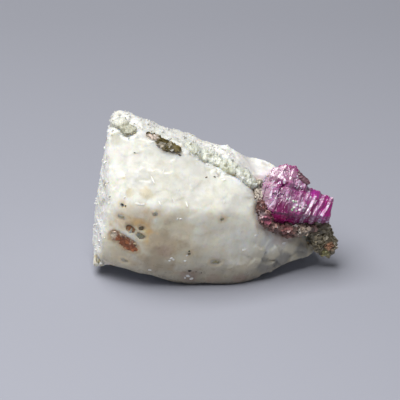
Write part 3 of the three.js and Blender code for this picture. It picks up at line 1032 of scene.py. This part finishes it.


# Specks, and chips with painted glints

# Across and up in the picture, half length, half width, all in mm, and turn in degrees.
DARK_SPECKS = [
    (1.3, 4.6, 0.34, 0.15, 30),
    (3.0, 4.7, 0.3, 0.14, -20),
    (-15.7, -0.9, 0.34, 0.22, 10),
    (-15.1, -1.2, 0.24, 0.18, 60),
    (-4.1, 9.1, 0.36, 0.15, -25),
    (-13.3, 9.6, 0.2, 0.14, 0),
    (-19.0, 12.4, 0.5, 0.16, 80),
    (-16.8, 14.8, 0.5, 0.08, -40),
    (-15.9, 14.0, 0.6, 0.09, -42),
    (-15.0, 13.2, 0.5, 0.08, -38),
    (-2.1, -14.4, 0.42, 0.3, 0),
    (-0.8, -14.6, 0.16, 0.12, 0),
    (0.3, -14.8, 0.16, 0.12, 0),
    (-2.2, -10.4, 0.24, 0.18, 0),
]
# Small white cleavage chips whose near-white colour is partly a painted glint.
WHITE_CHIPS_AND_GLINTS = [
    (-7.5, 5.7, 0.55, 0.18, 60),
    (-9.6, 4.1, 0.9, 0.16, -62),
    (-5.3, -0.2, 0.8, 0.16, -68),
    (-8.3, -0.4, 0.7, 0.15, -64),
    (-2.7, -0.8, 0.7, 0.15, -72),
    (-4.2, 1.6, 0.5, 0.12, -70),
    (-12.0, -1.0, 0.7, 0.2, 5),
    (-3.7, -3.9, 0.5, 0.2, -20),
    (-5.9, -11.8, 0.45, 0.2, 20),
    (-10.2, -14.2, 0.4, 0.22, 0),
    (-2.6, -11.2, 0.35, 0.16, 50),
    (-2.3, -15.4, 0.6, 0.4, -10),
    (9.0, -10.0, 0.6, 0.3, 30),
    (17.2, -8.8, 0.6, 0.3, -20),
    (11.5, -7.2, 0.5, 0.25, 10),
    (-12.7, -0.7, 0.5, 0.22, -10),
    (-11.4, -0.8, 0.45, 0.2, 25),
    (-4.6, -3.9, 0.35, 0.2, 60),
    (-5.5, -12.1, 0.4, 0.25, -30),
    (-6.2, -12.3, 0.3, 0.2, 10),
    (-3.2, -12.4, 0.4, 0.2, 20),
    (-1.8, -16.0, 0.5, 0.35, 30),
    (-3.0, -15.8, 0.35, 0.25, -40),
    (-21.1, -4.9, 0.3, 0.2, 0),
    (-20.5, -8.4, 0.3, 0.22, 60),
    (-20.7, -12.2, 0.35, 0.2, 20),
    (-19.5, -2.0, 0.3, 0.16, 80),
    (4.8, -0.4, 0.5, 0.18, 70),
]
CHIP_GROWTH = 1.1
PLATE_SIDES = 7
PLATE_PROUD = 0.05 * MM
PLATE_DEPTH = 0.25 * MM


def add_plate(shell, place, normal, half_length, half_width, turn, growth):
    """One small uneven plate, let into a skin at a place; lengths in mm and turn in degrees."""
    angle = math.radians(turn)
    length = VIEW_RIGHT * math.cos(angle) + VIEW_UP * math.sin(angle)
    length = (length - normal * length.dot(normal)).normalized()
    width = normal.cross(length)
    rings = []
    for level, size in ((PLATE_PROUD, 0.85), (-PLATE_DEPTH, 1.0)):
        ring = []
        for k in range(PLATE_SIDES):
            corner = 2 * math.pi * (k + 0.5 * noise.noise(place * 900 + normal * k)) / PLATE_SIDES
            reach = growth * size * (1 + 0.3 * noise.noise(place * 700 + normal * 3 * k))
            aside = length * (half_length * math.cos(corner))
            aside += width * (half_width * math.sin(corner))
            ring.append(shell.verts.new(place + aside * (reach * MM) + normal * level))
        rings.append(ring)
    top, bottom = rings
    shell.faces.new(top)
    shell.faces.new(bottom[::-1])
    for k in range(PLATE_SIDES):
        after = (k + 1) % PLATE_SIDES
        shell.faces.new((top[k], bottom[k], bottom[after], top[after]))


def plates_on(name, skin, rows, lean, growth=1):
    """A piece of small plates in a skin where the sight lines of the rows meet it."""
    tree = mesh_tree(skin)
    shell = bmesh.new()
    for across, up, half_length, half_width, turn in rows:
        through = AIM + (VIEW_RIGHT * across + VIEW_UP * up) * MM
        place, normal, _, _ = tree.ray_cast(CAMERA_PLACE, (through - CAMERA_PLACE).normalized())
        if place is None:
            raise ValueError(f"no skin at {across}, {up} mm")
        normal = (normal + lean * noise.random_unit_vector()).normalized()
        add_plate(shell, place, normal, half_length, half_width, turn, growth)
    mesh = bpy.data.meshes.new(name)
    shell.to_mesh(mesh)
    shell.free()
    return new_object(name, mesh)


class STONE_OT_specks(bpy.types.Operator):
    """Lets black specks, and small white chips whose colour is partly painted glint, into the front
    of the marble
    """

    bl_idname = "stone.specks"
    bl_label = "Specks and chips"

    def execute(self, context):
        settings = context.scene.stone_settings
        noise.seed_set(settings.seed)
        skin = bpy.data.objects["marble_block"].data
        specks = plates_on("dark_specks", skin, DARK_SPECKS, 0.1)
        give_tint(specks, (0.05, 0.042, 0.035))
        dress(specks, mica_material("Dark specks", 0.3, 0.7))
        # Near-white chips, partly a painted highlight.
        chips = plates_on("white_chips", skin, WHITE_CHIPS_AND_GLINTS, 0.35, CHIP_GROWTH)
        give_tint(chips, (1, 1, 1))
        dress(chips, sugar_material("White chips", (0.97, 0.97, 0.95), settings.marble_colour))
        for piece, slot in ((specks, "dark_mica"), (chips, "marble")):
            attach(piece, "root")
        return {"FINISHED"}


# Ruby

LEDGE_RISE = 0.34  # share of each ledge that is its steep side
FINE_LEDGES = 0.42  # spacing of the fine ledges as a share of the coarse ones'
CHIP_SIZE, CHIP_HEIGHT = 0.8 * MM, 0.3 * MM
FINE_CHIP_SIZE, FINE_CHIP_HEIGHT = 0.36 * MM, 0.05 * MM
CHIP_DRAW = 0.6  # how far the chips are drawn out along the ledges
# Colours of the ruby round places in the picture, as for the marble, then how strongly it is
# frosted, veiled or plain there: mm across and up, radius in mm, amount.
RUBY_SPOTS_AND_PAINTED_LIGHT = [
    # The first three rows are painted shade and light on the lower face: darker and duller where the
    # lamp lights it from above, much lighter low down where it faces the floor.
    (16.4, -2.6, 4.6, (0.62, 1.6, 0.56), 0.95),
    (15.6, -3.9, 2.6, (2.9, 5.0, 2.0), 0.85),
    (17.4, -4.8, 2.6, (3.6, 9.0, 3.0), 0.9),
    (21.5, -3.2, 2.6, (0.8, 0.6, 0.75), 0.8),
    (26.0, -3.2, 2.4, (1.5, 1.2, 1.6), 0.85),
    (23.6, 1.6, 2.2, (1.15, 1.0, 1.4), 0.8),
]
FROST_SPOTS = [
    (17.9, 5.9, 3.6, 0.35),
    (14.2, 1.2, 2.8, 1.0),
    (21.1, -1.2, 1.7, 0.95),
    (18.4, 1.0, 2.6, 0.75),
    (20.4, 3.2, 1.8, 1.0),
    (13.6, -0.2, 2.4, 1.0),
    (22.4, 0.6, 1.4, 0.6),
    (19.4, -1.4, 1.6, 0.7),
]
VEIL_SPOTS = [
    (13.2, 4.8, 5.0, 1.0),
    (12.6, 1.6, 2.2, 0.75),
    (13.0, -0.4, 1.6, 0.6),
    (16.0, 6.0, 2.4, 0.7),
    (18.6, 5.2, 3.0, 0.42),
]
PLAIN_SPOTS = [(16.4, -3.2, 4.8, 1.0), (23.8, 1.7, 1.8, 1.0), (26.5, -3.6, 1.5, 0.8)]


def amount_on(mesh, spots, wobble=None):
    """An amount for each point of a skin, from spots of across, up, radius and amount."""
    rows = [(across, up, radius, (1, 1, 1), amount) for across, up, radius, amount in spots]
    return paint(mesh, np.zeros((len(mesh.vertices), 3)), rows, wobble)[:, 0]


def ledge_phase(place, spacing, wander):
    """How far through its ledge a point is, from 0 to 1."""
    stray = 0.25 * noise.noise(place / (3 * MM)) + wander * noise.noise(place / (0.9 * MM))
    phase = (place - RUBY_TIP).dot(LEDGE_DIRECTION) / spacing + stray
    return phase - math.floor(phase)


def ledge_at(phase):
    """Height across one ledge, 0 to 1: steep on its first side and gentle on the other."""
    return phase / LEDGE_RISE if phase < LEDGE_RISE else (1 - phase) / (1 - LEDGE_RISE)


def chip_at(place, size):
    """Flat chips: (height over a plane that leans each cell's own way, the cell's own number)."""
    _, centres = noise.voronoi(place / size)
    lean = noise.cell_vector(centres[0] * 7.3) * 2 - Vector((1, 1, 1))
    own = noise.cell(centres[0] * 3.1)
    return (place / size - centres[0]).dot(lean) * 0.6 + own - 0.5, own


def shape_ruby(mesh, settings):
    """Cuts growth ledges near the tip and flat chips further back; marks frosted skin and painted
    glints.
    """
    points = points_of(mesh)
    normals = normals_of(mesh)
    along = (points - np.array(RUBY_TIP)) @ -np.array(RUBY_AXIS) / MM
    scaly = smooth_step(along, 5.5, 8.5)
    facing = smooth_step(normals @ np.array(VIEW_BACK), 0.1, 0.45)
    wobble = wobble_of(points, 1.2 * MM)
    zone = amount_on(mesh, FROST_SPOTS, wobble)
    veil = amount_on(mesh, VEIL_SPOTS, wobble)
    plain = amount_on(mesh, PLAIN_SPOTS, 0.5 * wobble)
    calm = 1 - 0.8 * np.maximum(plain, 0.6 * veil)
    frost = np.zeros(len(points))
    for i, spot in enumerate(points):
        place = Vector(spot)
        phase = ledge_phase(place, settings.ledge_spacing, 0.04 + 0.6 * scaly[i])
        fine_phase = ledge_phase(place, FINE_LEDGES * settings.ledge_spacing, 0.1)
        drawn = place - LEDGE_LINE * (CHIP_DRAW * place.dot(LEDGE_LINE))
        chip, own = chip_at(drawn, CHIP_SIZE)
        fine, fine_own = chip_at(drawn, FINE_CHIP_SIZE)
        rise = settings.ledge_height * (1 - 0.75 * scaly[i]) * (ledge_at(phase) - 0.5)
        rise += 0.3 * settings.ledge_height * (1 - scaly[i]) * (ledge_at(fine_phase) - 0.5)
        chips = CHIP_HEIGHT * (0.06 + 0.94 * scaly[i]) * chip
        rise += chips + FINE_CHIP_HEIGHT * (0.3 + scaly[i]) * fine
        points[i] += normals[i] * rise * calm[i]
        # Painted glints: bright streaks on the steep sides of the ledges and on some chips, where
        # they face the camera.
        glint_riser = phase < LEDGE_RISE + 0.06 or (fine_phase < 0.3 and fine_own > 0.45)
        streak = (0.6 + 0.4 * fine_own) if glint_riser else 0.0
        flake = 0.95 if own + 0.6 * fine_own > 0.9 - 0.5 * zone[i] else 0.15 * zone[i]
        frost[i] = facing[i] * (1 - plain[i]) * (streak + scaly[i] * (flake - streak))
    set_points(mesh, points)
    store_float(mesh, "frost", np.maximum(frost, zone * np.clip(0.6 + wobble, 0, 1)))
    store_float(mesh, "veil", veil * np.clip(0.95 + 0.6 * wobble, 0, 1))
    store_float(mesh, "sugar", np.clip(1.3 * zone - 0.3, 0, 1) * (1 - veil) * facing)
    store_colour(mesh, "tint", paint(mesh, np.ones((len(points), 3)), RUBY_SPOTS_AND_PAINTED_LIGHT, wobble))


class STONE_OT_ruby(bpy.types.Operator):
    """Makes the ruby with its growth ledges, chips, frosted skin and painted glints"""

    bl_idname = "stone.ruby"
    bl_label = "Ruby crystal"

    def execute(self, context):
        settings = context.scene.ruby_settings
        ruby = copy_of_nodes("ruby", ["ruby_crystal"])
        remesh(ruby, settings.ruby_voxel)
        shape_ruby(ruby.data, settings)
        close_onto(ruby, ["brown_rind_flake"], CONTACT_REACH, RUBY_BITE)
        ruby.data.shade_flat()
        dress(ruby, ruby_material(settings))
        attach(ruby, "root")
        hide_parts("ruby_crystal")
        grains = strew_blocks(
            "ruby_frost",
            ruby.data,
            settings.frost_density,
            settings.frost_size,
            context.scene.stone_settings.seed,
            sugar_material("Ruby frost", (0.86, 0.80, 0.90), settings.ruby_frost),
        )
        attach(grains, "root")
        return {"FINISHED"}


# Mica

# The masses of mica: piece, node, slot, mesh square in mm and colour.
MASSES = [
    ("rim_crust", "mica_rim", "rim_mica", 0.16, (0.26, 0.15, 0.13)),
    ("tip_knot", "mica_knot_at_tip", "tip_mica", 0.16, (0.31, 0.27, 0.19)),
    ("dark_flake", "dark_mica_flake", "dark_mica", 0.14, (0.075, 0.058, 0.016)),
    ("red_flake", "red_mica_flake", "red_mica", 0.14, (0.25, 0.085, 0.035)),
    ("grey_patch", "grey_mica_patch", "grey_mica", 0.13, (0.50, 0.505, 0.46)),
    ("grey_band", "grey_mica_band", "grey_mica", 0.13, (0.66, 0.68, 0.62)),
    ("rind_flake", "brown_rind_flake", "rim_mica", 0.12, (0.2, 0.1, 0.13)),
]
# The scales on a mass: radius and thickness in mm, how many lie on a square mm, how far they lean
# in degrees, least roughness and contrast.
SCALES = {
    "rim_crust": (0.5, 0.14, 2.6, 70, 0.2, 1.0),
    "tip_knot": (0.5, 0.2, 2.6, 75, 0.24, 0.7),
    "dark_flake": (0.42, 0.08, 3.5, 25, 0.14, 1.0),
    "red_flake": (0.3, 0.07, 4.2, 14, 0.26, 0.6),
    "rind_flake": (0.4, 0.08, 3, 25, 0.2, 0.8),
}
# The clear grey masses have lumps instead: the lumps' size in mm, then the relief they share.
LUMPS = {"grey_patch": 0.9, "grey_band": 1.2}
LUMP_RELIEF = {"Wave": (1.6, 0.9), "Sugar": (0.5, 0.12)}
LUMP_HEIGHT = 0.34
# What the marble's tint is multiplied by where a grey or another mass fades into it.
MARBLE_GREYISH = (0.86, 0.86, 0.84)
MARBLE_MIDDLING = (0.84, 0.83, 0.79)
# The masses whose edges fade into the marble.
FADED_MASSES = ("dark_flake", "grey_patch", "grey_band")
# Colours round places in the picture, as for the marble.
MICA_SPOTS = {
    "rim_crust": [
        (11.6, 4.5, 3.2, (0.60, 0.57, 0.47), 0.95),
        (12.0, 1.4, 1.8, (0.62, 0.57, 0.50), 0.9),
        (12.8, -1.3, 1.5, (0.17, 0.06, 0.055), 0.85),
        (12.4, -3.2, 1.3, (0.32, 0.24, 0.26), 0.85),
        (14.0, -4.2, 1.6, (0.30, 0.07, 0.13), 0.85),
        (14.2, -6.2, 1.6, (0.30, 0.17, 0.15), 0.8),
        (17.6, -6.4, 1.8, (0.24, 0.09, 0.09), 0.85),
        (19.4, -5.6, 1.4, (0.16, 0.09, 0.08), 0.7),
        (21.5, -6.8, 2.4, (0.50, 0.42, 0.34), 0.85),
    ],
    "tip_knot": [
        (26.6, -9.6, 1.2, (0.50, 0.25, 0.15), 0.9),
        (25.6, -11.0, 1.2, (0.42, 0.40, 0.17), 0.85),
        (24.6, -9.0, 1.2, (0.38, 0.33, 0.20), 0.7),
        (24.4, -6.4, 1.6, (0.20, 0.17, 0.12), 0.6),
    ],
    "dark_flake": [
        (-9.8, 13.0, 1.7, (0.48, 0.40, 0.35), 0.95),
        (-4.6, 11.2, 1.2, (0.18, 0.14, 0.04), 0.6),
        (-8.3, 11.0, 0.9, (0.58, 0.52, 0.42), 0.75),
        (-7.0, 9.8, 0.8, (0.42, 0.36, 0.24), 0.7),
    ],
    "red_flake": [
        (-17.4, -5.9, 1.3, (0.72, 0.66, 0.54), 0.9),
        (-17.9, -7.4, 1.1, (0.72, 0.66, 0.54), 0.85),
        (-16.4, -7.0, 0.7, (0.26, 0.19, 0.12), 0.8),
        (-15.2, -8.6, 0.9, (0.40, 0.15, 0.06), 0.7),
        (-16.0, -7.4, 0.6, (0.12, 0.03, 0.02), 0.6),
        (-13.8, -9.6, 0.7, (0.13, 0.035, 0.02), 0.6),
        (-14.4, -9.0, 0.4, (0.62, 0.36, 0.26), 0.5),
    ],
    "grey_patch": [
        (-14.9, 14.6, 3.2, (0.42, 0.42, 0.34), 0.85),
        (-16.6, 16.4, 1.8, (0.66, 0.66, 0.62), 0.9),
    ],
    "grey_band": [
        (5.6, 6.0, 1.8, (0.50, 0.52, 0.42), 0.8),
        (0.5, 8.6, 1.6, (0.62, 0.64, 0.56), 0.8),
        (8.6, 4.6, 1.8, (0.74, 0.74, 0.70), 0.8),
        (3.2, 8.2, 1.2, (0.86, 0.86, 0.80), 0.8),
    ],
}


def core_share(mesh, marble, edge, core):
    """How deep each point lies inside its mineral: 0 within edge mm of the marble, 1 past core."""
    tree = mesh_tree(marble)
    points = points_of(mesh)
    distance = np.array([tree.find_nearest(Vector(spot))[3] for spot in points]) / MM
    return smooth_step(distance * (1 + 0.8 * wobble_of(points, 0.6 * MM)), edge, core)


def fade_to_marble(mesh, colours, share, marble=(1, 1, 1)):
    """Blends colours into the tint of the marble beside them where the share is low."""
    skin = bpy.data.objects["marble_block"].data
    flat = np.empty(len(skin.vertices) * 4)
    skin.attributes["tint"].data.foreach_get("color", flat)
    tints = flat.reshape(-1, 4)[:, :3] * marble
    places = KDTree(len(skin.vertices))
    for i, vertex in enumerate(skin.vertices):
        places.insert(vertex.co, i)
    places.balance()
    beside = tints[[places.find(vertex.co)[1] for vertex in mesh.vertices]]
    return beside + share[:, None] * (colours - beside)


def seat_mass(mass, node):
    """Seats a mass in the marble and stores how far each point is its own and not marble."""
    core = np.ones(len(mass.data.vertices))
    if node in FLUSH_NODES:
        core = core_share(mass.data, frame["nodes"]["marble_matrix"].data, *FLAKE_FADE)
        lay_on_marble(mass, FLAKE_PROUD, LAID_DEPTH)
    elif mass.name in FADED_MASSES:
        swell(mass, EDGE_SWELL)
        core = core_share(mass.data, bpy.data.objects["marble_block"].data, *EDGE_FADE)
    store_float(mass.data, "core", core)
    return core


def paint_mass(mass, colour, core):
    """Paints a mass with its colour and its spots, and fades it into the marble."""
    colours = np.tile(np.array(colour), (len(core), 1))
    colours = paint(mass.data, colours, MICA_SPOTS.get(mass.name, []))
    if core.min() < 1:
        clear = MARBLE_GREYISH if mass.name in LUMPS else MARBLE_MIDDLING
        colours = fade_to_marble(mass.data, colours, core, clear)
    store_colour(mass.data, "tint", colours)


def make_lumps(mass, core, settings):
    """Gives a clear grey mass its lumps and small chips."""
    name = mass.name.replace("_", " ").capitalize()
    store_float(mass.data, "sugar", core)
    store_float(mass.data, "chipped", core)
    relief = {**LUMP_RELIEF, "Chip": (LUMPS[mass.name], LUMP_HEIGHT)}
    raise_relief(mass, relief, settings.seed)
    dress(mass, marble_material(settings, name))


def make_scales(mass, tree, settings):
    """Covers a mass in its scales."""
    radius, thickness, many, lean, gloss, contrast = SCALES[mass.name]
    name = mass.name.replace("_", " ").capitalize()
    values = {
        "Scales per square metre": many / MM**2,
        "Scale radius": radius * MM,
        "Scale thickness": thickness * MM,
        "Lean": math.radians(lean),
        "Seed": settings.seed,
        "Material": mica_material(name, gloss, contrast),
    }
    run_tree(mass, tree, values)


class STONE_OT_mica(bpy.types.Operator):
    """Makes each mass of mica as a rough core covered in scales or lumps"""

    bl_idname = "stone.mica"
    bl_label = "Mica masses"

    def execute(self, context):
        settings = context.scene.stone_settings
        tree = scales_tree()
        for piece, node, slot, square, colour in MASSES:
            mass = copy_of_nodes(piece, [node])
            remesh(mass, square * MM)
            core = seat_mass(mass, node)
            paint_mass(mass, colour, core)
            if piece in LUMPS:
                make_lumps(mass, core, settings)
            else:
                make_scales(mass, tree, settings)
            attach(mass, "root")
            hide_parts(node)
        return {"FINISHED"}


# Grains

GRAIN_SQUARE = 0.09 * MM  # size of the mesh squares of the grains
GRAIN_COLOURS = {
    "red_mica": (0.46, 0.18, 0.06),
    "dark_mica": (0.28, 0.20, 0.10),
    "green_mica": (0.52, 0.41, 0.20),
    "pale_mica": (0.74, 0.55, 0.30),
}


class STONE_OT_grains(bpy.types.Operator):
    """Makes the small grains of mica in the front face, one piece for each kind"""

    bl_idname = "stone.grains"
    bl_label = "Mica grains"

    def execute(self, context):
        settings = context.scene.stone_settings
        for slot, nodes in GRAINS_BY_SLOT.items():
            grains = copy_of_nodes(f"grains_{slot}", nodes)
            remesh(grains, GRAIN_SQUARE)
            soften(grains, 4)
            core = core_share(grains.data, frame["nodes"]["marble_matrix"].data, *GRAIN_FADE)
            lay_on_marble(grains, GRAIN_PROUD, LAID_DEPTH)
            tint = np.tile(np.array(GRAIN_COLOURS[slot]), (len(grains.data.vertices), 1))
            fleck = 1 + 0.6 * wobble_of(points_of(grains.data), 0.5 * MM)
            tint = fade_to_marble(grains.data, tint * fleck[:, None], core)
            store_colour(grains.data, "tint", tint)
            dress(grains, marble_material(settings, f"Grains {slot}"))
            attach(grains, "root")
            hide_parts(*nodes)
        return {"FINISHED"}


# Stage


def make_floor(settings):
    size = FLOOR_HALF
    floor = bpy.data.meshes.new("floor")
    corners = [(-size, -size, 0), (size, -size, 0), (size, size, 0), (-size, size, 0)]
    floor.from_pydata(corners, [], [(0, 1, 2, 3)])
    floor.materials.append(floor_material(settings))
    return new_object("floor", floor)


def light_room(scene, settings):
    """Even light from all round, and a large lamp overhead turned towards the stone."""
    world = bpy.data.worlds.new("Room")
    world.use_nodes = True
    sky = world.node_tree.nodes["Background"]
    sky.inputs["Color"].default_value = SKY_COLOUR
    sky.inputs["Strength"].default_value = settings.sky_strength
    scene.world = world
    light = bpy.data.lights.new("Overhead lamp", "AREA")
    light.shape = "RECTANGLE"
    light.size, light.size_y = LAMP_SIZE
    light.energy = settings.lamp_power
    light.color = LAMP_COLOUR
    lamp = new_object("Overhead lamp", light)
    lamp.location = LAMP_PLACE
    way = Vector(LAMP_AIM) - Vector(LAMP_PLACE)
    lamp.rotation_euler = way.to_track_quat("-Z", "Y").to_euler()


def place_camera(scene):
    lens = bpy.data.cameras.new("Camera")
    lens.lens = LENS
    lens.sensor_width = 2 * PICTURE_HALF_SENSOR
    lens.clip_start, lens.clip_end = 0.05, 10
    camera = new_object("Camera", lens)
    camera.location = CAMERA_PLACE
    camera.rotation_euler = (-VIEW_BACK).to_track_quat("-Z", "Y").to_euler()
    scene.camera = camera


class STONE_OT_stage(bpy.types.Operator):
    """Makes the floor, the light and the camera"""

    bl_idname = "stone.stage"
    bl_label = "Stage"

    def execute(self, context):
        settings = context.scene.stage_settings
        scene = context.scene
        scene.view_settings.view_transform = "Standard"
        light_room(scene, settings)
        place_camera(scene)
        make_floor(settings)
        return {"FINISHED"}


class STONE_PT_panel(bpy.types.Panel):
    """Lists the stone's pieces"""

    bl_idname = "STONE_PT_panel"
    bl_label = "Ruby in Matrix"
    bl_space_type = "VIEW_3D"
    bl_region_type = "UI"
    bl_category = "Stone"

    def draw(self, context):
        for operator in OPERATORS:
            self.layout.operator(operator.bl_idname)


OPERATORS = (
    STONE_OT_marble,
    STONE_OT_sugar,
    STONE_OT_specks,
    STONE_OT_ruby,
    STONE_OT_mica,
    STONE_OT_grains,
    STONE_OT_stage,
)
SETTINGS = {
    "stone_settings": StoneSettings,
    "ruby_settings": RubySettings,
    "stage_settings": StageSettings,
}


def register():
    for settings in SETTINGS.values():
        bpy.utils.register_class(settings)
    for name, settings in SETTINGS.items():
        setattr(bpy.types.Scene, name, PointerProperty(type=settings))
    for operator in OPERATORS:
        bpy.utils.register_class(operator)
    bpy.utils.register_class(STONE_PT_panel)


def unregister():
    bpy.utils.unregister_class(STONE_PT_panel)
    for operator in reversed(OPERATORS):
        bpy.utils.unregister_class(operator)
    for name, settings in SETTINGS.items():
        delattr(bpy.types.Scene, name)
        bpy.utils.unregister_class(settings)


def main():
    register()
    bpy.ops.stone.marble()
    bpy.ops.stone.sugar()
    bpy.ops.stone.specks()
    bpy.ops.stone.ruby()
    bpy.ops.stone.mica()
    bpy.ops.stone.grains()
    bpy.ops.stone.stage()


if __name__ == "__main__":
    main()
